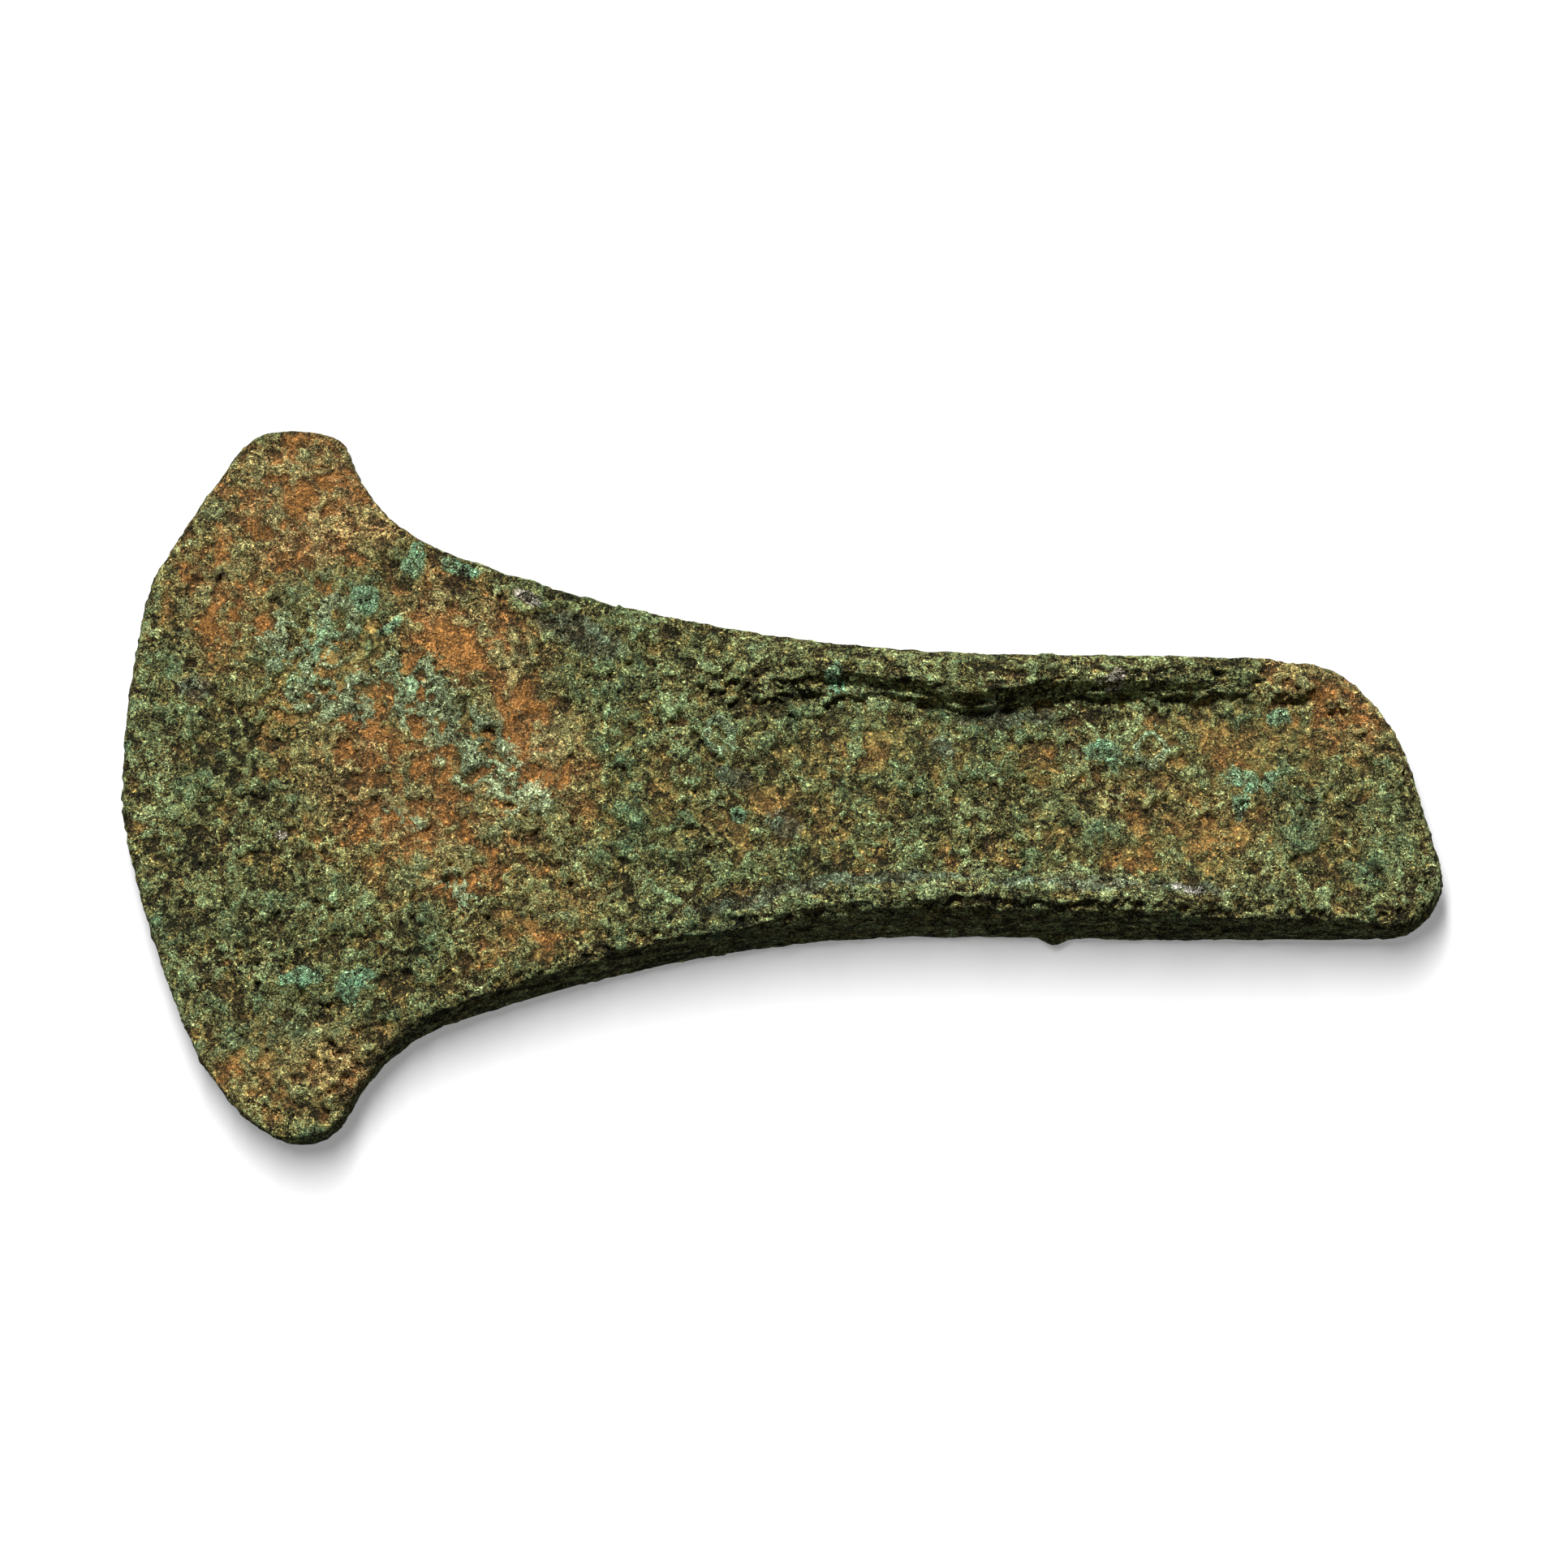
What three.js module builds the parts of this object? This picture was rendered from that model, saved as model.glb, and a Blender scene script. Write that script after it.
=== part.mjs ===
// A cast bronze flanged axe head: one solid casting, lying on the crests of its two lower flanges.
// Millimetres. +X runs from the cutting edge to the butt, +Y across the blade and +Z up.
// The origin is the middle of the outline, on the surface that the axe lies on.
import * as THREE from "three";

const { clamp, lerp, smoothstep } = THREE.MathUtils;

// The outline in plan, as straight and round stretches that run into each other.
// Each stretch says how many slices of the mesh cross it.
const FAR_EDGE = [
  { radius: 101, turn: -11, slices: 6 }, // the cutting edge starts nearly straight
  { radius: 7, turn: -18, slices: 1 }, // goes round a worn shoulder
  { radius: 170, turn: -5, slices: 5 }, // and runs on to the horn
];
const FAR_HORN = [
  { radius: 5, turn: -45, slices: 4 }, // the edge rounds over into a blunt horn
  { radius: 12, turn: -31, slices: 3 }, // its worn end
  { radius: 2.4, turn: -53, slices: 2 }, // the corner at its back
  { radius: 16, turn: 51.7, slices: 5 }, // the hollow behind it
];
const NEAR_EDGE = [
  { radius: 28, turn: -14.9, slices: 1 }, // this half of the edge turns sooner
  { radius: 137, turn: -7.8, slices: 1 },
  { radius: 25.7, turn: -27.6, slices: 1 },
];
const NEAR_HORN = [
  { radius: 6.8, turn: -44.9, slices: 1 },
  { radius: 5, turn: -64.1, slices: 1 },
  { radius: 15.8, turn: 45.8, slices: 1 },
];
const FAR_FLARE = { radius: 153, turn: 21.6, slices: 20 }; // the long flare from the haft end to the blade
const NEAR_FLARE = { radius: 129, turn: 23.8, slices: 1 };
const FAR_SIDE = { length: 28, slices: 9 }; // straight side to the worn corner of the butt
const NEAR_SIDE = { length: 39.6, slices: 1 }; // the other side runs on to a sharper corner
const FAR_CORNER = { radius: 10, turn: -47.7, slices: 4 };
const BUTT_CURVE = { radius: 19.5, turn: -25.7, slices: 5 }; // the butt slants and bows outwards
const BUTT_STRAIGHT = { length: 9.5, slices: 3 };
const NEAR_CORNER_START = { radius: 5.8, turn: -16.9, slices: 1 }; // to the furthest point of the butt
const NEAR_CORNER_END = { radius: 5.8, turn: -90, slices: 3 };

// Half thicknesses, above and below the middle plane.
const EDGE_HALF = 0.8; // the blunted cutting edge
const BODY_HALF = 4.5; // the thickest part of the blade, short of the haft channel
const BODY_SWELL = 14; // how quickly the blade swells behind the edge
const FLOOR_HALF = 3.3; // the web between the two haft channels
const BUTT_HALF = 3; // the same web at the butt
const FLOOR_FROM = -18; // the blade falls away to the channel floor between these two stations
const FLOOR_FLAT_FROM = 12;
const FLOOR_FLAT_TO = 47; // beyond this the web thins to the butt

// The flange crests seen from the side: rising out of the blade, level along the crown, and falling
// away again towards the butt.
const TOP_CREST = { crown: 7.3, from: -24, level: 12, to: 33, fall: 28, drop: 3.1 };
const UNDER_CREST = { crown: 6.7, from: -32, level: -12.5, to: 36, fall: 26, drop: 2.8 };
const MIDDLE = UNDER_CREST.crown; // so the lower crests lie on z = 0

// Across each flange, from the side inwards: a flat crest, then a slope down to the floor.
const FAR_TOP_FLANGE = { crest: 3, foot: 4.4, splay: 6 }; // hammered up steep and broad
const NEAR_TOP_FLANGE = { crest: 1.7, foot: 5.8 }; // narrow, with a long hollow slope
const UNDER_FLANGE = { crest: 2.7, foot: 5 };
const SPLAYED_TO = -10; // towards the blade its wall lies back by the splay, and here it starts to
const STEEP_FROM = 14; // stand up, until it is steep
const LUMP = { at: 18, half: 6, swell: 1.6 }; // where the far top flange was hammered out broader
const RIM_FROM = 52; // past the worn corner the far flange turns along the butt and dies out
const RIM_TO = 63;

// How the faces round over into the sides.
const SIDE_ROUND = 1.3;
const EDGE_ROUND = 1.2;
const BUTT_ROUND = 2.6;
const ROUND_POWER = 2.6; // over 2, so the sides stand steeper than a half circle

// Each slice of the mesh runs straight across, with its points close together near both sides.
// These margins are measured in from each side.
const SIDE_MARGINS = [0.12, 0.5, 1.4, 2.2, 3, 3.7, 4.4, 5.2, 6];
const POINTS_BETWEEN = 9;
const NARROW = 18; // on a slice narrower than this the margins shrink in proportion
const OUTLINE_STEP = 0.5;

// A pen that draws stretches end to end, each tangent to the one before, and marks the slices.
function draw(pen, stretches) {
  for (const { length = 0, radius = 0, turn = 0, slices } of stretches) {
    const angle = THREE.MathUtils.degToRad(turn);
    const run = length || radius * Math.abs(angle);
    const steps = slices * Math.ceil(run / slices / OUTLINE_STEP);
    const half = angle / steps / 2;
    const chord = length ? length / steps : 2 * radius * Math.sin(Math.abs(half));
    for (let i = 1; i <= steps; i++) {
      pen.heading += half;
      pen.at.x += chord * Math.cos(pen.heading);
      pen.at.y += chord * Math.sin(pen.heading);
      pen.heading += half;
      pen.line.push(pen.at.clone());
      if (i % (steps / slices) === 0) pen.marks.push(pen.at.clone());
    }
  }
  return pen;
}

function penAt(at, heading) {
  return { at: at.clone(), heading, line: [at.clone()], marks: [] };
}

// The outline as fine polylines: the cutting edge, the two sides and the butt, the far side with the
// butt that its flange turns along, and the two chains that run from the foremost point to the
// rearmost one, along the far side and along the near side.
function makeOutline() {
  const foremost = new THREE.Vector2(0, 0);
  const farEdge = draw(penAt(foremost, Math.PI / 2), FAR_EDGE);
  const nearEdge = draw(penAt(foremost, Math.PI / 2), NEAR_EDGE);
  const far = draw(penAt(farEdge.at, farEdge.heading), [...FAR_HORN, FAR_FLARE, FAR_SIDE]);
  const near = draw(penAt(nearEdge.at, nearEdge.heading), [...NEAR_HORN, NEAR_FLARE, NEAR_SIDE]);
  const rear = [FAR_CORNER, BUTT_CURVE, BUTT_STRAIGHT, NEAR_CORNER_START];
  const buttFar = draw(penAt(far.at, far.heading), rear);
  const buttNear = draw(penAt(buttFar.at, buttFar.heading), [NEAR_CORNER_END]);
  const mirrored = (line) => line.map(({ x, y }) => new THREE.Vector2(x, -y));
  const copied = (line) => line.map((point) => point.clone());
  const outline = {
    edge: [...mirrored(nearEdge.line).reverse(), ...copied(farEdge.line)],
    far: copied(far.line),
    near: mirrored(near.line),
    butt: [...copied(buttFar.line), ...copied(buttNear.line)],
    farRim: [...copied(far.line), ...copied(buttFar.line)],
    farChain: [...farEdge.line, ...far.line, ...buttFar.line],
    nearChain: [...mirrored(nearEdge.line), ...mirrored(near.line), ...copied(buttNear.line).reverse()],
    marks: [foremost.clone(), ...farEdge.marks, ...far.marks, ...buttFar.marks],
  };
  const middle = new THREE.Box2().setFromPoints(outline.farChain.concat(outline.nearChain));
  const centre = middle.getCenter(new THREE.Vector2());
  for (const line of Object.values(outline)) {
    for (const point of line) point.sub(centre);
  }
  return outline;
}

// Where a chain crosses the slice at x.
function crossing(chain, x) {
  const next = Math.max(chain.findIndex((point) => point.x >= x), 1);
  const [a, b] = [chain[next - 1], chain[next]];
  return b.x > a.x ? lerp(a.y, b.y, clamp((x - a.x) / (b.x - a.x), 0, 1)) : b.y;
}

function distanceTo(line, point) {
  const segment = new THREE.Line3();
  const at = new THREE.Vector3(point.x, point.y, 0);
  const nearest = new THREE.Vector3();
  let least = Infinity;
  for (let i = 1; i < line.length; i++) {
    segment.start.set(line[i - 1].x, line[i - 1].y, 0);
    segment.end.set(line[i].x, line[i].y, 0);
    segment.closestPointToPoint(at, true, nearest);
    least = Math.min(least, nearest.distanceTo(at));
  }
  return least;
}

const outline = makeOutline();

// How much of the full height is left this close to a rounded rim.
function rounding(distance, radius) {
  const inwards = Math.min(distance / radius, 1);
  return (1 - (1 - inwards) ** ROUND_POWER) ** (1 / ROUND_POWER);
}

// How far the flange crests stand over the body at this station.
function crestRise(x, body, { crown, from, level, to, fall, drop }) {
  const rise = (crown - body) * smoothstep(x, from, level);
  return Math.max(rise - drop * smoothstep(x - to, 0, fall), 0);
}

// Half the thickness of the blade and web, with no flanges.
function bodyHalf(x, fromEdge) {
  const blade = lerp(BODY_HALF, EDGE_HALF, Math.exp(-fromEdge / BODY_SWELL));
  const web = lerp(FLOOR_HALF, BUTT_HALF, smoothstep(x, FLOOR_FLAT_TO, outline.marks.at(-1).x));
  return lerp(blade, web, smoothstep(x, FLOOR_FROM, FLOOR_FLAT_FROM));
}

// How much of a flange's height there is this far in from its side.
function flangeShare(distance, x, { crest, foot, splay = 0 }, swell = 0) {
  const lying = splay * (1 - smoothstep(x, SPLAYED_TO, STEEP_FROM));
  return 1 - smoothstep(distance, crest + swell, foot + swell + lying);
}

// The height of one face over the middle plane.
function faceHeight(point, crest, farFlange, nearFlange, swell) {
  const near = distanceTo(outline.near, point);
  const side = Math.min(distanceTo(outline.far, point), near);
  const farRim = distanceTo(outline.farRim, point);
  const fromEdge = distanceTo(outline.edge, point);
  const fromButt = distanceTo(outline.butt, point);
  const body = bodyHalf(point.x, fromEdge);
  const farEnd = 1 - smoothstep(point.x, RIM_FROM, RIM_TO);
  const farShare = flangeShare(farRim, point.x, farFlange, swell) * farEnd;
  const share = Math.max(farShare, flangeShare(near, point.x, nearFlange));
  const height = body + crestRise(point.x, body, crest) * share;
  const rim = rounding(side, SIDE_ROUND) * rounding(fromEdge, EDGE_ROUND);
  return height * rim * rounding(fromButt, BUTT_ROUND);
}

const lumpSwell = (x) => LUMP.swell * Math.exp(-(((x - LUMP.at) / LUMP.half) ** 2));
const topHeight = (p) => faceHeight(p, TOP_CREST, FAR_TOP_FLANGE, NEAR_TOP_FLANGE, lumpSwell(p.x));
const underHeight = (p) => faceHeight(p, UNDER_CREST, UNDER_FLANGE, UNDER_FLANGE, 0);

// The plan positions across one slice, from the near side to the far side.
function slicePoints(x) {
  const near = crossing(outline.nearChain, x);
  const far = crossing(outline.farChain, x);
  const width = far - near;
  const shrink = Math.min(width / NARROW, 1);
  const swell = (margin) => (margin < FAR_TOP_FLANGE.crest ? 0 : lumpSwell(x));
  const fromNear = SIDE_MARGINS.map((margin) => margin * shrink);
  const toFar = SIDE_MARGINS.map((margin) => width - margin * shrink - swell(margin)).reverse();
  const between = [];
  for (let i = 1; i < POINTS_BETWEEN; i++) {
    between.push(lerp(fromNear.at(-1), toFar[0], i / POINTS_BETWEEN));
  }
  return [0, ...fromNear, ...between, ...toFar, width].map((y) => new THREE.Vector2(x, near + y));
}

// Both faces share their rim, and the first and last slices are single points on it.
function axeGeometry() {
  const positions = [];
  const index = [];
  const add = (point, z) => positions.push(point.x, point.y, z) / 3 - 1;
  const gap = (p, q) =>
    Math.hypot(positions[3 * p] - positions[3 * q], positions[3 * p + 1] - positions[3 * q + 1]);
  const pole = (mark) => Array(2 * SIDE_MARGINS.length + POINTS_BETWEEN + 1).fill(add(mark, MIDDLE));
  const slices = outline.marks.slice(1, -1).map((mark) => slicePoints(mark.x));
  const isRim = (j) => j === 0 || j === slices[0].length - 1;
  const top = slices.map((row) =>
    row.map((point, j) => add(point, isRim(j) ? MIDDLE : MIDDLE + topHeight(point))),
  );
  const under = slices.map((row, i) =>
    row.map((point, j) => (isRim(j) ? top[i][j] : add(point, MIDDLE - underHeight(point)))),
  );
  const apex = pole(outline.marks[0]);
  const rearmost = pole(outline.marks.at(-1));
  for (const [rows, up] of [[[apex, ...top, rearmost], true], [[apex, ...under, rearmost], false]]) {
    for (let i = 1; i < rows.length; i++) {
      for (let j = 1; j < rows[i].length; j++) {
        const [a, b, c, d] = [rows[i - 1][j - 1], rows[i][j - 1], rows[i][j], rows[i - 1][j]];
        // Each cell is split along its shorter diagonal.
        const pair = gap(b, d) < gap(a, c) ? [[a, b, d], [b, c, d]] : [[a, b, c], [a, c, d]];
        for (const corners of pair) {
          if (new Set(corners).size === 3) index.push(...(up ? corners : corners.reverse()));
        }
      }
    }
  }
  const geometry = new THREE.BufferGeometry();
  geometry.setAttribute("position", new THREE.Float32BufferAttribute(positions, 3));
  geometry.setIndex(index);
  geometry.computeVertexNormals();
  return geometry;
}

const patinatedBronze = new THREE.MeshStandardMaterial({
  color: 0x6f6a3f,
  roughness: 0.85,
  metalness: 0.2,
});

const axeHead = new THREE.Mesh(axeGeometry(), patinatedBronze);
axeHead.name = "axe_head";

const axe = new THREE.Group();
axe.add(axeHead);

export default axe;
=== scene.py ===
import math

import bmesh
import bpy
import numpy as np
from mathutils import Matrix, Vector, noise
from mathutils.kdtree import KDTree


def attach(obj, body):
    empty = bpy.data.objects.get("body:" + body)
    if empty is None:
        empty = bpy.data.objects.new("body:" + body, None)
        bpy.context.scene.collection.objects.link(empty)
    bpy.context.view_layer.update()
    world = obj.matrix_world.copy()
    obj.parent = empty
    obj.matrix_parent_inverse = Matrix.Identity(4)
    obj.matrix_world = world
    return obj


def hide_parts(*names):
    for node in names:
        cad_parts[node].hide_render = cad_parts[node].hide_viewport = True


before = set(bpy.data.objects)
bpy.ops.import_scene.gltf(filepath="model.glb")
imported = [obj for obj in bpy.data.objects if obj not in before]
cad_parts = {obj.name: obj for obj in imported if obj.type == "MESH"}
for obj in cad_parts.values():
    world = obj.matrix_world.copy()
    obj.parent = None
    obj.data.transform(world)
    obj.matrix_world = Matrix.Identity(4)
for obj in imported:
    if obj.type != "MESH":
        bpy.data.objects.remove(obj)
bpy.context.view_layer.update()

# ---------------------------------------------------------------------------------------------------
# The cast form. The axe head is one bronze casting from a two-piece mould. Its blade was hammered out
# to a wide curved edge and its sides were hammered up into low flanges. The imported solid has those
# shapes, and here it becomes an even, fine skin with the worn roundness of a buried casting.

MM = 0.001
SKIN = 0.25 * MM  # the size of the skin's cells
WELD = 0.001 * MM  # corners closer than this are one corner
MIDDLE = 6.7  # the height of the middle plane, in mm
WEAR = 0.5  # how far each pass of wear moves a point towards its neighbours
WEAR_PASSES = 9

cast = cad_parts["axe_head"]
shape = bmesh.new()
shape.from_mesh(cast.data)
bmesh.ops.remove_doubles(shape, verts=shape.verts, dist=WELD)
closed = bpy.data.meshes.new("cast_form")
shape.to_mesh(closed)
shape.free()
axe = bpy.data.objects.new("corroded_axe_head", closed)
bpy.context.scene.collection.objects.link(axe)

remesh = axe.modifiers.new("skin", "REMESH")
remesh.mode = "VOXEL"
remesh.voxel_size = SKIN
wear = axe.modifiers.new("wear", "SMOOTH")
wear.factor = WEAR
wear.iterations = WEAR_PASSES


def apply_modifiers(piece):
    """Makes what a piece's modifiers show its own mesh."""
    shown = piece.evaluated_get(bpy.context.evaluated_depsgraph_get())
    finished = bpy.data.meshes.new_from_object(shown)
    piece.modifiers.clear()
    piece.data = finished


def vertex_rows(mesh, field):
    """A vector of every vertex, as the rows of an array."""
    flat = np.empty(len(mesh.vertices) * 3, np.float32)
    mesh.vertices.foreach_get(field, flat)
    return flat.reshape(-1, 3).astype(float)


apply_modifiers(axe)
place = vertex_rows(axe.data, "co") / MM  # all the relief below is worked out in mm
facing = vertex_rows(axe.data, "normal")
upper = np.clip(facing[:, 2] * 2.5, 0, 1)  # 1 on the upper face, and 0 on the sides and below
under = np.clip(-facing[:, 2] * 2.5, 0, 1)  # 1 on the hidden face


# ---------------------------------------------------------------------------------------------------
# The corrosion. Long burial turned the skin of the bronze into a crumbling crust of green copper salts,
# with brown earth packed in its hollows and paler plates that stand proud. All of it has grown on the
# casting, so it is part of the same piece.


def ease(value, low, high):
    """0 below low, 1 above high, and a smooth rise between."""
    share = np.clip((value - low) / (high - low), 0, 1)
    return share * share * (3 - 2 * share)


def grown(function, points, size, seed, *settings):
    """A noise function at each point, for features of about this size in mm."""
    shift = Vector((seed * 17.3, seed * 5.9, seed * 31.7))
    return np.array([function(Vector(p) / size + shift, *settings) for p in points])


def nodules(points, size, seed):
    """Rounded grains of about this size: 1 at each grain's middle, falling to 0 between them."""
    nearest = grown(lambda p: noise.voronoi(p)[0][0], points, size, seed)
    return 1 - ease(nearest, 0.05, 0.62)


# Noise at several sizes, each centred on 0, and grains from 0 to 1.
wander = np.stack([grown(noise.noise, place, 2.6, seed) for seed in (1, 2, 3)], axis=1)
rough_place = place + 0.9 * wander  # outlines measured here come out lobed
broad = grown(noise.fractal, place, 15, 4, 0.9, 2.0, 3)
lumps = grown(noise.fractal, place, 4.2, 5, 0.8, 2.1, 3)
ragged = grown(noise.fractal, rough_place, 1.9, 6, 0.5, 2.2, 3)
gritty = grown(noise.fractal, place, 0.8, 12, 0.5, 2.2, 2)
scaly = grown(noise.fractal, place + 0.7 * wander, 1.5, 14, 0.6, 2.2, 3)
crumbs = nodules(place + 0.35 * wander, 1.0, 8)
combed = grown(noise.fractal, place * (0.22, 1, 1) + 0.2 * wander, 0.9, 15, 0.6, 2.1, 3)
pits = nodules(rough_place, 2.8, 9)


def patch(x, y, long, short, turn=0.0, soft=0.35):
    """1 inside a lobed oval on the upper face, 0 outside. Its half lengths are long and short."""
    angle = math.radians(turn)
    across = rough_place[:, :2] - (x, y)
    along = across @ (math.cos(angle), math.sin(angle)) / long
    aside = across @ (-math.sin(angle), math.cos(angle)) / short
    reach = np.hypot(along, aside) + 0.22 * ragged
    return (1 - ease(reach, 1 - soft, 1 + soft)) * upper


def ring(x, y, radius, width):
    """A raised curl of crust round a hollow."""
    reach = np.hypot(*(rough_place[:, :2] - (x, y)).T)
    return (1 - ease(abs(reach - radius), width * 0.4, width)) * upper


def furrow(points, width):
    """1 along a line of points on the upper face, falling to 0 at this width."""
    nearest = np.full(len(place), np.inf)
    spot = place[:, :2] + 0.5 * wander[:, :2]
    for start, end in zip(points, points[1:]):
        start, run = np.array(start), np.subtract(end, start)
        share = np.clip((spot - start) @ run / (run @ run), 0, 1)
        nearest = np.minimum(nearest, np.hypot(*(spot - start - share[:, None] * run).T))
    return (1 - ease(nearest, 0, width)) * upper


def together(shapes):
    """The most that any of these shapes says at each point."""
    return np.max(list(shapes), axis=0)


EARTH_BEDS = [  # x, y, half length, half width, turn, and how full of earth it is
    (-33.5, 14.5, 5.4, 3.2, -35, 1.0),
    (-25.2, 4.0, 7.0, 3.0, -62, 1.0),
    (-35.5, -6.0, 6.0, 4.6, 20, 0.85),
    (-54.0, 15.5, 4.0, 5.2, 10, 0.9),
    (-48.2, 29.0, 6.6, 5.6, 30, 0.8),
    (-47.0, 22.0, 7.0, 4.0, -30, 0.6),
    (-42.4, 20.0, 3.6, 3.0, -40, 0.9),
    (-42.8, 14.0, 2.6, 5.4, -20, 0.9),
    (-49.5, 9.0, 3.6, 2.8, -40, 0.8),
    (-56.5, 22.0, 3.0, 4.4, -30, 0.7),
    (-36.0, 4.0, 12.0, 6.0, -40, 0.7),
    (54.0, 8.0, 5.0, 2.4, -30, 0.9),
    (46.0, 3.4, 10.0, 5.0, 5, 0.75),
    (40.0, -5.6, 14.0, 2.6, 0, 0.75),
    (14.0, 4.0, 14.0, 4.0, -5, 0.55),
    (-24.0, -15.5, 6.0, 2.6, 30, 0.65),
    (-49.8, -28.4, 5.0, 4.0, 0, 0.6),
    (-31.5, -9.5, 5.5, 3.0, 10, 0.7),
    (-14.0, 0.0, 10.0, 8.0, 0, 0.45),
    (0.0, -4.0, 12.0, 5.0, 0, 0.4),
]
WARM_GROUND = [  # where the earth is orange: x, y, half length, half width, turn, and how warm
    (-47.5, 28.0, 10.0, 9.0, 0, 1.0),
    (-55.0, 18.0, 6.0, 7.0, 0, 0.8),
    (-31.0, 14.0, 9.0, 4.4, -35, 1.0),
    (-24.5, 3.6, 8.0, 4.4, -62, 1.0),
    (-36.0, -2.0, 12.0, 8.0, -30, 0.9),
    (-46.0, -29.0, 9.0, 5.0, 0, 0.6),
    (54.0, 9.0, 7.0, 3.6, -35, 0.8),
    (-24.0, -15.0, 7.0, 3.0, 30, 0.5),
    (42.0, -2.0, 14.0, 8.0, 0, 0.3),
]
CRUST_PLATES = [
    (-47.6, 13.0, 4.8, 3.4, -25),
    (-43.6, 8.4, 4.6, 3.2, -40),
    (-36.2, 8.6, 5.8, 3.6, -35),
    (-30.2, 2.6, 6.8, 3.8, -45),
    (-25.4, -1.8, 3.2, 2.4, -30),
    (-31.5, -11.5, 2.6, 1.6, -30),
    (-37.0, -4.4, 3.4, 0.9, -20),
]
CRUST_RINGS = [  # x, y, radius, width
    (-43.8, 16.3, 1.7, 0.9),
    (36.2, 3.6, 1.5, 0.6),
    (-6.3, 4.2, 1.3, 0.7),
    (-47.0, 8.0, 1.4, 0.6),
]
GREEN_SPOTS = [  # x, y, half length, half width, turn
    (-41.4, 18.0, 1.5, 1.2, 60),
    (-39.0, 15.4, 1.6, 0.7, 30),
    (31.6, 3.5, 1.9, 1.5, -40),
    (44.9, 0.8, 1.7, 1.2, 0),
    (44.6, -1.4, 0.8, 1.4, 10),
    (47.8, 0.9, 0.9, 0.7, 0),
    (5.0, 10.1, 1.3, 1.0, -60),
    (-4.2, -3.4, 1.0, 0.8, 0),
    (48.8, 7.4, 1.4, 1.0, 0),
    (-32.2, 21.6, 1.8, 0.7, -25),
    (-41.4, -21.0, 2.4, 1.4, 40),
    (-46.6, -20.4, 1.8, 1.0, 10),
    (-36.6, 22.0, 0.8, 2.0, -15),
]
SLATE_STAINS = [
    (-4.7, 0.5, 2.4, 0.9, -10),
    (-0.1, -4.2, 1.9, 1.6, 0),
    (15.5, 3.5, 2.0, 1.0, -20),
    (-58.0, 9.0, 2.2, 1.2, 0),
    (-20.0, 14.6, 5.0, 1.8, -22),
    (22.0, 7.0, 5.0, 1.2, 0),
    (9.0, -10.2, 12.0, 1.0, 4),
    (33.0, -10.6, 14.0, 0.9, 0),
    (-2.0, -12.0, 8.0, 1.0, 14),
]
PALE_SCABS = [
    (-25.2, 18.3, 1.5, 0.8, -20),
    (-49.0, -6.1, 0.9, 0.7, 0),
    (32.6, 10.4, 1.6, 0.6, 5),
    (40.0, -10.6, 1.8, 0.5, 0),
]
FURROWS = [  # depth, width, and the points that it runs through
    (0.9, 0.6, [(-59.5, 18.6), (-58.4, 20.4), (-57.0, 20.0), (-55.3, 20.9)]),
    (0.4, 0.8, [(-46.5, 26.9), (-42.6, 27.0), (-39.8, 26.2)]),
    (0.4, 0.7, [(-38.4, 17.3), (-34.0, 17.6), (-30.0, 16.6)]),
    (0.6, 0.6, [(-26.2, 5.4), (-24.6, 6.4), (-23.0, 6.8)]),
    (0.5, 0.5, [(33.5, 10.8), (39.0, 11.3), (43.0, 11.3), (50.5, 12.0)]),
    (0.45, 0.7, [(22.0, 1.3), (24.0, 0.3), (26.0, 0.2)]),
    (0.4, 0.8, [(-52.4, -32.0), (-48.6, -33.6), (-43.6, -33.6)]),
    (0.3, 0.7, [(-58.0, -22.0), (-54.0, -20.4), (-51.0, -18.6)]),
    (0.3, 0.6, [(-14.0, -7.0), (-12.0, -5.8)]),
]
KNOBS = [  # lumps and chips on the sides, and crust heaped against a flange: x, y, z, reach, height
    (3.0, 11.2, 10.5, 3.2, 0.7),
    (7.5, 10.4, 10.2, 3.0, 1.0),
    (11.5, 9.6, 10.0, 2.8, 0.9),
    (17.2, 8.6, 9.8, 2.2, 0.8),
    (22.6, 9.6, 10.4, 1.6, 0.9),
    (26.4, 9.8, 10.2, 1.5, 0.8),
    (31.0, 10.0, 10.4, 1.7, 0.8),
    (36.4, 9.6, 10.0, 1.3, 0.8),
    (41.0, 9.8, 10.2, 1.7, 0.9),
    (46.5, 9.8, 10.0, 1.5, 0.8),
    (27.0, -13.2, 2.4, 2.0, 2.0),
    (-11.8, 17.0, 8.0, 1.4, 0.4),
    (-3.0, 15.6, 8.0, 1.4, 0.35),
    (7.0, 14.2, 9.0, 1.8, 0.4),
    (14.7, 13.6, 9.0, 1.8, 0.35),
    (20.0, 7.0, 11.5, 2.4, 0.5),
]

# The bare crust, in mm over the casting: broad swells, then clumps with steep sides, then crumbs.
CLUMPS_AVERAGE = 1.4
CRUMBS_AVERAGE = 0.4
clumps = ease(lumps, -0.2, 0.12) + 0.8 * ease(ragged + 0.3 * lumps, -0.12, 0.16)
clumps += 0.6 * ease(scaly + 0.3 * ragged, -0.1, 0.12) + 0.3 * ease(gritty + 0.4 * scaly, -0.1, 0.1)
stone = 0.26 * broad + 0.42 * (clumps - CLUMPS_AVERAGE) + 0.2 * scaly + 0.12 * gritty
stone += 0.14 * (crumbs - CRUMBS_AVERAGE)
stone -= 0.4 * ease(pits, 0.5, 0.95) * ease(lumps, 0.2, -0.3)

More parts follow.
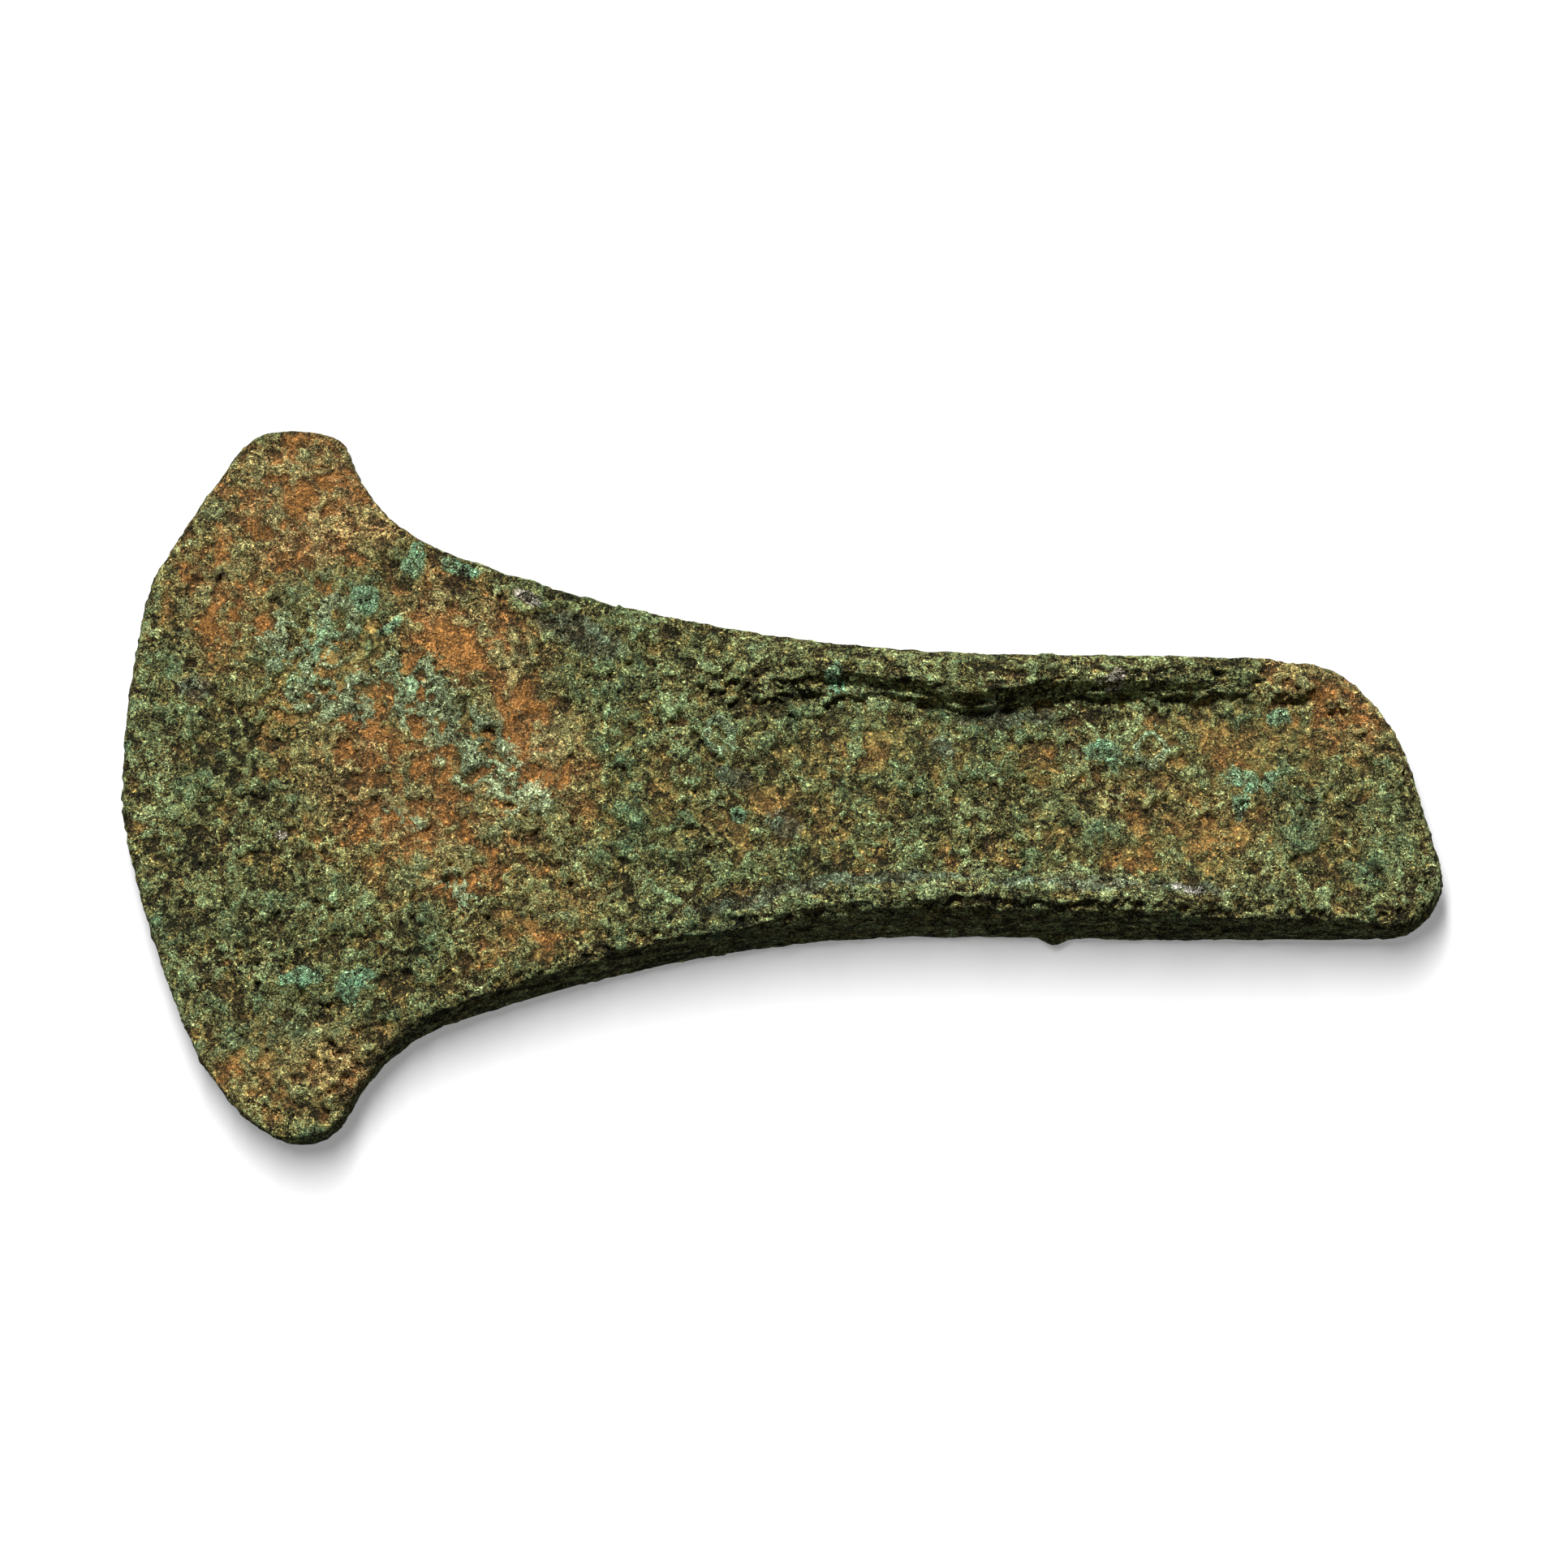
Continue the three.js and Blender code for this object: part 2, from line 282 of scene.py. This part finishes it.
# The hammered sides and flanges are smoother, with a grain that runs along them.
side_on = 1 - ease(abs(facing[:, 2]), 0.3, 0.8)
flange = ease(place[:, 2], 11.4, 12.6) * ease(place[:, 0], -20, 0)
hammered = np.maximum(side_on, flange)
smooth = np.maximum(0.82 * side_on, 0.45 * flange)
stone = stone * (1 - smooth) + 0.35 * combed * hammered

# Crumbly plates stand on it.
CRUST_RISE = 0.3
plates = together(patch(*plate, soft=0.45) for plate in CRUST_PLATES)
stray_crust = ease(grown(noise.fractal, place, 7, 11, 0.9, 2.0, 3) + 0.3 * ragged, 0.35, 0.6) * under
curls = together(ring(*curl) for curl in CRUST_RINGS)
spots = together(patch(*spot) for spot in GREEN_SPOTS)
crust = together([plates, stray_crust]) * ease(ragged + scaly + 0.2 * lumps, -0.5, -0.15)
crust = together([crust, curls, spots])
stone += CRUST_RISE * crust

# Earth fills the hollows, deep in some beds and thin elsewhere.
LOWEST_FILL = -0.58
BED_DEPTH = 0.68
EARTH_BLEND = 0.8  # the height over which crust gives way to earth
beds = together(full * patch(*bed, soft=0.6) for *bed, full in EARTH_BEDS)
stray_beds = 0.7 * ease(broad + 0.5 * lumps, 0.1, 0.7) * (1 - upper)
fill = LOWEST_FILL + BED_DEPTH * together([beds, stray_beds])
fill += 0.12 * grown(noise.fractal, place, 3, 13, 0.8, 2.0, 2)
fill -= 0.25 * spots
earth = 0.5 + (fill - stone) / EARTH_BLEND  # over a half where earth covers the crust
soil = fill + 0.1 * ragged + 0.05 * gritty
relief = stone + (soil - stone) * ease(earth, 0.45, 0.6)

slate = together(patch(*stain) for stain in SLATE_STAINS)
pale = together(patch(*scab) for scab in PALE_SCABS)
relief += 0.15 * pale
for depth, width, points in FURROWS:
    relief -= depth * furrow(points, width)
for x, y, z, reach, height in KNOBS:
    away = np.linalg.norm(place - (x, y, z), axis=1)
    relief += height * (1 - ease(away, 0, reach))

RELIEF_RANGE = 1.4
proud = 0.5 + relief / RELIEF_RANGE

# Handling has worn the rims smooth.
RIM_WIDTH = 1.8
sides = KDTree(len(place))
for index in np.flatnonzero(side_on > 0.5):
    sides.insert(place[index], int(index))
sides.balance()
from_side = np.array([sides.find(point)[2] for point in place])
relief *= 1 - 0.5 * (1 - ease(from_side, 0.0, RIM_WIDTH))

# The crust is thinner on the hammered edge, and the hidden face is plainer.
from_middle = abs(place[:, 2] - MIDDLE)
thin = (1 - ease(from_middle, 0.6, 2.6)) * ease(abs(facing[:, 2]), 0.1, 0.4)
relief *= (1 - 0.6 * thin) * (1 - 0.3 * under)
grown_place = place + facing * relief[:, None]
grown_place[:, :2] += 0.2 * wander[:, :2] * (upper * scaly)[:, None]

# The flange crests have lost their outer corners.
CREST_LOSS = 0.9
CREST_WIDTH = 2.4
crest = ease(place[:, 2], 11.0, 12.5)
grown_place[:, 2] -= CREST_LOSS * (1 - ease(from_side, 0.0, CREST_WIDTH)) * crest


def shape_to(places):
    """Moves every vertex to its place in mm, and none below the table that the lower crests lie on."""
    resting = np.maximum(places, (-np.inf, -np.inf, 0.0))
    axe.data.vertices.foreach_set("co", (resting * MM).astype(np.float32).ravel())


shape_to(grown_place)

# The plainer under face and sides need fewer cells.
MOST_TRIANGLES = 196_000
plainer = axe.vertex_groups.new(name="plainer")
tilt = facing[:, 2]
for share, chosen in ((0.35, tilt > 0.2), (0.5, abs(tilt) <= 0.2), (1.0, tilt < -0.2)):
    plainer.add(np.flatnonzero(chosen).tolist(), share, "REPLACE")
thinning = axe.modifiers.new("thinning", "DECIMATE")
thinning.vertex_group = plainer.name
thinning.vertex_group_factor = 1.0
thinning.ratio = MOST_TRIANGLES / (2 * len(axe.data.polygons))
apply_modifiers(axe)
shape_to(vertex_rows(axe.data, "co") / MM)
for polygon in axe.data.polygons:
    polygon.use_smooth = True

# What the finish needs to know at each point: how proud the crust stands, and what covers it.
RUST_PLACE = (20.0, -12.0, 10.6)  # a stain on the outside of the near flange
RUST_REACH = (3.2, 2.0, 1.8)
rusty = 1 - ease(np.linalg.norm((place - RUST_PLACE) / RUST_REACH, axis=1), 0.4, 1.1)
tree_of_places = KDTree(len(grown_place))
for index, point in enumerate(grown_place):
    tree_of_places.insert(point, index)
tree_of_places.balance()
nearest = [tree_of_places.find(point)[1] for point in vertex_rows(axe.data, "co") / MM]
warm = together(warmth * patch(*bed, soft=0.7) for *bed, warmth in WARM_GROUND)
masks = {"proud": proud, "earth": earth, "warm": warm, "crust": crust, "verdigris": spots}
masks |= {"slate": slate, "pale": pale, "rusty": rusty, "combed": hammered}
for name, mask in masks.items():
    attribute = axe.data.attributes.new(name, "FLOAT", "POINT")
    attribute.data.foreach_set("value", np.clip(mask[nearest], 0, 1).astype(np.float32))


# ---------------------------------------------------------------------------------------------------
# The patina. Its colours are those of old copper salts: dark green against the metal, olive and grey
# green outside, turquoise where a plate has grown, and iron-stained earth from orange to ochre. It is
# dry and matt, and its grains are a fraction of a millimetre across.


class Wire:
    """A socket of a material. Arithmetic on it adds Math nodes, and node() adds any other node."""

    def __init__(self, tree, socket=None):
        self.tree = tree
        self.socket = socket

    def node(self, kind, settings, inputs, output=0):
        made = self.tree.nodes.new(kind)
        for name, value in settings.items():
            if name == "stops":
                self.set_stops(made.color_ramp.elements, value)
            else:
                setattr(made, name, value)
        for name, value in inputs.items():
            socket = made.inputs[name] if isinstance(name, int) else self.find(made.inputs, name)
            if isinstance(value, Wire):
                self.tree.links.new(value.socket, socket)
            else:
                socket.default_value = value
        if not made.outputs:
            return None
        return Wire(self.tree, made.outputs[output] if output == 0 else self.find(made.outputs, output))

    @staticmethod
    def find(sockets, name):
        return next(socket for socket in sockets if name in (socket.name, socket.identifier))

    @staticmethod
    def set_stops(elements, stops):
        for _ in range(len(stops) - len(elements)):
            elements.new(0.5)
        for element, (position, colour) in zip(elements, stops):
            element.position = position
            element.color = colour

    def math(self, operation, first, second):
        return self.node("ShaderNodeMath", {"operation": operation}, {0: first, 1: second})

    def __add__(self, other):
        return self.math("ADD", self, other)

    def __sub__(self, other):
        return self.math("SUBTRACT", self, other)

    def __mul__(self, other):
        return self.math("MULTIPLY", self, other)

    def __rsub__(self, other):
        return self.math("SUBTRACT", other, self)

    __radd__ = __add__
    __rmul__ = __mul__

    def ease(self, low, high):
        settings = {"interpolation_type": "SMOOTHSTEP"}
        inputs = {"Value": self, "From Min": low, "From Max": high}
        return self.node("ShaderNodeMapRange", settings, inputs, "Result")

    def mix(self, first, second):
        """The first colour where this is 0, and the second where it is 1."""
        inputs = {"Factor_Float": self, "A_Color": first, "B_Color": second}
        return self.node("ShaderNodeMix", {"data_type": "RGBA"}, inputs, "Result_Color")

    def ramp(self, *stops):
        return self.node("ShaderNodeValToRGB", {"stops": stops}, {"Fac": self})


def pigment(red, green, blue):
    """A linear colour from the 0 to 255 values of a paint chart."""
    shares = [value / 255 for value in (red, green, blue)]
    return (*[((s + 0.055) / 1.055) ** 2.4 if s > 0.04 else s / 12.92 for s in shares], 1.0)


patina = bpy.data.materials.new("buried_bronze_patina")
patina.use_nodes = True
patina.node_tree.nodes.clear()
skin = Wire(patina.node_tree)
where = skin.node("ShaderNodeTexCoord", {}, {}, "Object")


def moved(shift):
    return skin.node("ShaderNodeVectorMath", {"operation": "ADD"}, {0: where, 1: (shift,) * 3})


def mottle(size, detail=3.0, roughness=0.6, distortion=0.0, shift=0.0, stretch=1.0):
    """Soft noise from 0 to 1 with features of about this size, in mm, drawn out along the axe head."""
    drawn = {0: moved(shift), 1: (1 / stretch, 1.0, 1.0)}
    spot = skin.node("ShaderNodeVectorMath", {"operation": "MULTIPLY"}, drawn)
    inputs = {"Vector": spot, "Scale": 1 / (size * MM), "Detail": detail}
    inputs |= {"Roughness": roughness, "Distortion": distortion}
    return skin.node("ShaderNodeTexNoise", {}, inputs)


def crumbled(size, shift=0.0):
    """How far each point is from the middle of its crumb, as a share of this size in mm."""
    warp_inputs = {"Vector": moved(shift), "Scale": 0.7 / (size * MM)}
    warp = skin.node("ShaderNodeTexNoise", {}, warp_inputs, "Color")
    push = skin.node(
        "ShaderNodeVectorMath",
        {"operation": "MULTIPLY_ADD"},
        {0: warp, 1: (1.2 * size * MM,) * 3, 2: moved(shift)},
    )
    inputs = {"Vector": push, "Scale": 1 / (size * MM)}
    return skin.node("ShaderNodeTexVoronoi", {}, inputs, "Distance")


def painted(name):
    """One of the axe head's own masks."""
    return skin.node("ShaderNodeAttribute", {"attribute_name": name}, {}, "Fac")


def scaled(colour, factor):
    """A colour made lighter or darker."""
    return skin.node("ShaderNodeVectorMath", {"operation": "SCALE"}, {0: colour, "Scale": factor})


# Noise from the finest dust to the broadest drifts, the folds that crack, and the single crumbs.
dust = mottle(0.2, detail=1.0, distortion=1.0)
grit = mottle(0.42, detail=3.0, roughness=0.7, distortion=2.0, shift=0.031)
clots = mottle(1.3, detail=3.0, roughness=0.65, distortion=0.8, shift=0.057)
drift = mottle(5.0, detail=3.0, roughness=0.6, shift=0.083)
folds = mottle(0.9, detail=2.0, roughness=0.6, distortion=1.6, shift=0.019)
# Distance from each crumb's middle: the gaps between crumbs get painted shade in the colour.
crumb_gap_shade = crumbled(0.5, shift=0.013)

# How high the crust stands: a little relief finer than the mesh, and the mesh's own.
rise = painted("proud")
crumb = grit.ease(0.44, 0.55)
clump = clots.ease(0.45, 0.54)
# Thin cracks along the folds: a real crack in the relief, and painted shade in it in the colour.
crack_and_shade = 1 - skin.math("ABSOLUTE", folds - 0.5, 0).ease(0.0, 0.04)
height = 0.3 * crumb + 0.5 * clump + 0.5 * clots + 0.3 * grit + 0.12 * dust - 0.4 * crack_and_shade
stands = 0.42 * height + 0.8 * rise
# How low each point lies, used only for painted shade in the hollows.
sunken_shade = 1 - (0.55 * height + 0.55 * rise).ease(0.28, 0.8)

# From grey green crust on the crumbs through olive and ochre to deep soil between them.
SOIL_AVERAGE = 1.1
earthy = painted("earth")
warmed = painted("warm")
soiled = 0.2 * earthy + 0.45 * earthy * warmed + 0.25 * warmed
soiled = soiled + 0.9 * clots + 1.2 * drift + 1.3 * grit + 0.6 * dust
soiled = soiled - 0.4 * stands - 0.15 * crumb - 0.2 * clump - SOIL_AVERAGE
colour = soiled.ramp(
    (0.0, pigment(80, 104, 74)),
    (0.2, pigment(94, 106, 70)),
    (0.4, pigment(104, 103, 61)),
    (0.6, pigment(112, 99, 54)),
    (0.8, pigment(117, 93, 50)),
    (1.0, pigment(122, 84, 42)),
)
tan = pigment(118, 108, 86)
colour = (0.25 * warmed * (1 - earthy)).mix(colour, tan)

# Over that the crust, the salts and the stains, each with a frayed outline.
FRAY_AVERAGE = 2.1
frayed = 0.35 * crumb + 0.45 * clump + 1.0 * grit + 0.8 * clots - FRAY_AVERAGE


def patchy(name):
    """One of the masks, broken up along the clumps and crumbs."""
    return (1.25 * painted(name) + frayed).ease(0.0, 0.3)


jade = pigment(84, 126, 96)
ash = pigment(112, 125, 94)
slate_grey = pigment(56, 66, 60)
bone = pigment(158, 150, 142)
rust = pigment(112, 70, 46)
tinged = (0.9 * drift + 0.6 * clots + 0.4 * grit - 0.3 * earthy - 0.3 * warmed).ease(0.95, 1.1)
colour = (0.35 * tinged).mix(colour, jade)
crusted = patchy("crust")
plate_colour = (0.6 * patchy("verdigris") + 0.4 * tinged).mix(ash, jade)
colour = (0.8 * crusted).mix(colour, plate_colour)
colour = (0.6 * patchy("slate")).mix(colour, slate_grey)
colour = (0.6 * patchy("pale")).mix(colour, bone)
colour = (0.7 * patchy("rusty")).mix(colour, rust)

# Each grain has its own lightness, in doublings, and painted shade makes the hollows, the cracks and the
# gaps between crumbs nearly black.
GRAIN_AVERAGE = 7.2
PAINT_STRENGTH = 1.5
shade = pigment(91, 97, 68)
streaks = mottle(0.5, detail=3.0, shift=0.047, stretch=5.0)
brushed = painted("combed")
doublings = 5.8 * dust + 5.6 * grit + 1.6 * clots + 2.0 * drift + 0.3 * stands - 0.6 * crumb_gap_shade
doublings = doublings + 0.4 * clump - GRAIN_AVERAGE + 0.4 * warmed - 0.4 * earthy * warmed
doublings = doublings + 5.0 * brushed * (streaks - 0.5)
# Painted shade: the hollows and cracks are darkened nearly to black and tinted a dark green grey.
hollow = (0.8 * crack_and_shade + sunken_shade) * (1 - 0.7 * earthy) * (1 - 0.4 * warmed)
doublings = doublings * (1 - 0.35 * earthy) - 3.8 * hollow
colour = (0.75 * hollow).mix(colour, shade)
colour = scaled(colour, PAINT_STRENGTH * skin.math("POWER", 2.0, doublings))

# Earth and hammered metal are smoother than the crust.
BUMP_DEPTH = 0.75 * MM
height = height + 0.8 * brushed * (streaks - 0.5)
height = height * (1 - 0.6 * earthy) * (1 - 0.4 * brushed)
bump_inputs = {"Strength": 1.0, "Distance": BUMP_DEPTH, "Height": height}
shader = skin.node(
    "ShaderNodeBsdfPrincipled",
    {},
    {
        "Base Color": colour,
        "Roughness": 0.72 + 0.2 * grit,
        "Metallic": 0.0,
        "Specular IOR Level": 0.15,
        "Normal": skin.node("ShaderNodeBump", {}, bump_inputs, "Normal"),
    },
)
skin.node("ShaderNodeOutputMaterial", {}, {"Surface": shader})
axe.data.materials.clear()
axe.data.materials.append(patina)

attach(axe, "root")
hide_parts("axe_head")


# ---------------------------------------------------------------------------------------------------
# The studio. The axe head lies on a plain white table. One soft lamp on its far side lights it, and a
# broad one over the table draws its shadow, with a little light from all round. The camera looks down
# on it, a little from its near side.


def plain_material(name, colour, glow):
    """A matt surface that also glows, so that its shadows stay pale."""
    made = bpy.data.materials.new(name)
    made.use_nodes = True
    made.node_tree.nodes.clear()
    wire = Wire(made.node_tree)
    inputs = {"Base Color": colour, "Roughness": 1.0, "Specular IOR Level": 0.0}
    inputs |= {"Emission Color": (1.0, 1.0, 1.0, 1.0), "Emission Strength": glow}
    surface = wire.node("ShaderNodeBsdfPrincipled", {}, inputs)
    wire.node("ShaderNodeOutputMaterial", {}, {"Surface": surface})
    return made


def hide_from_bounces(piece):
    """Keeps this piece from throwing light back onto the axe head."""
    piece.visible_diffuse = False
    piece.visible_glossy = False


TABLE_RADIUS = 2.0
TABLE_GLOW = 0.24
bpy.ops.mesh.primitive_circle_add(vertices=96, radius=TABLE_RADIUS, fill_type="NGON", location=(0, 0, 0))
table = bpy.context.object
table.name = "table"
table.data.materials.append(plain_material("white_table", (0.6, 0.6, 0.6, 1.0), TABLE_GLOW))
hide_from_bounces(table)

BACKDROP_RADIUS = 4.0
bpy.ops.mesh.primitive_uv_sphere_add(
    segments=48, ring_count=24, radius=BACKDROP_RADIUS, location=(0, 0, 0)
)
backdrop = bpy.context.object
backdrop.name = "backdrop"
backdrop.data.materials.append(plain_material("white_backdrop", (0.0, 0.0, 0.0, 1.0), 1.0))
hide_from_bounces(backdrop)
backdrop.visible_shadow = False
backdrop.visible_transmission = False

ROOM_LIGHT = 0.11
world = bpy.data.worlds.new("studio")
bpy.context.scene.world = world
world.use_nodes = True
room = world.node_tree.nodes["Background"]
room.inputs["Color"].default_value = (1.0, 1.0, 1.0, 1.0)
room.inputs["Strength"].default_value = ROOM_LIGHT


def lamp(name, kind, energy, above, from_left, lit, **settings):
    """A lamp on the far side, this high and this far round in degrees, that lights only one piece."""
    data = bpy.data.lights.new(name, kind)
    data.energy = energy
    for setting, value in settings.items():
        setattr(data, setting, value)
    made = bpy.data.objects.new(name, data)
    made.rotation_euler = (math.radians(above - 90), math.radians(-from_left), 0)
    made.location = made.rotation_euler.to_matrix() @ Vector((0, 0, 1))
    bpy.context.scene.collection.objects.link(made)
    made.light_linking.receiver_collection = bpy.data.collections.new(name)
    made.light_linking.receiver_collection.objects.link(lit)


lamp("axe_lamp", "SUN", 6.0, 60, 8, axe, angle=math.radians(9))
lamp("table_lamp", "AREA", 14.5, 80, 6, table, shape="RECTANGLE", size=0.12, size_y=0.7)

VIEW_HEIGHT = math.radians(75)
VIEW_TURN = math.radians(0.9)
LENS = 200
SHOWN_WIDTH = 0.1545  # how much of the table the picture is wide
camera_data = bpy.data.cameras.new("camera")
camera_data.lens = LENS
distance = SHOWN_WIDTH / 2 / math.tan(math.atan(camera_data.sensor_width / 2 / LENS))
back = Vector(
    (
        math.sin(VIEW_TURN) * math.cos(VIEW_HEIGHT),
        -math.cos(VIEW_TURN) * math.cos(VIEW_HEIGHT),
        math.sin(VIEW_HEIGHT),
    )
)
aim = Vector((0.0002, 0.0008, MIDDLE * MM))
camera = bpy.data.objects.new("camera", camera_data)
bpy.context.scene.collection.objects.link(camera)
camera.location = aim + back * distance
camera.rotation_euler = (-back).to_track_quat("-Z", "Y").to_euler()
bpy.context.scene.camera = camera
bpy.context.scene.view_settings.view_transform = "Standard"
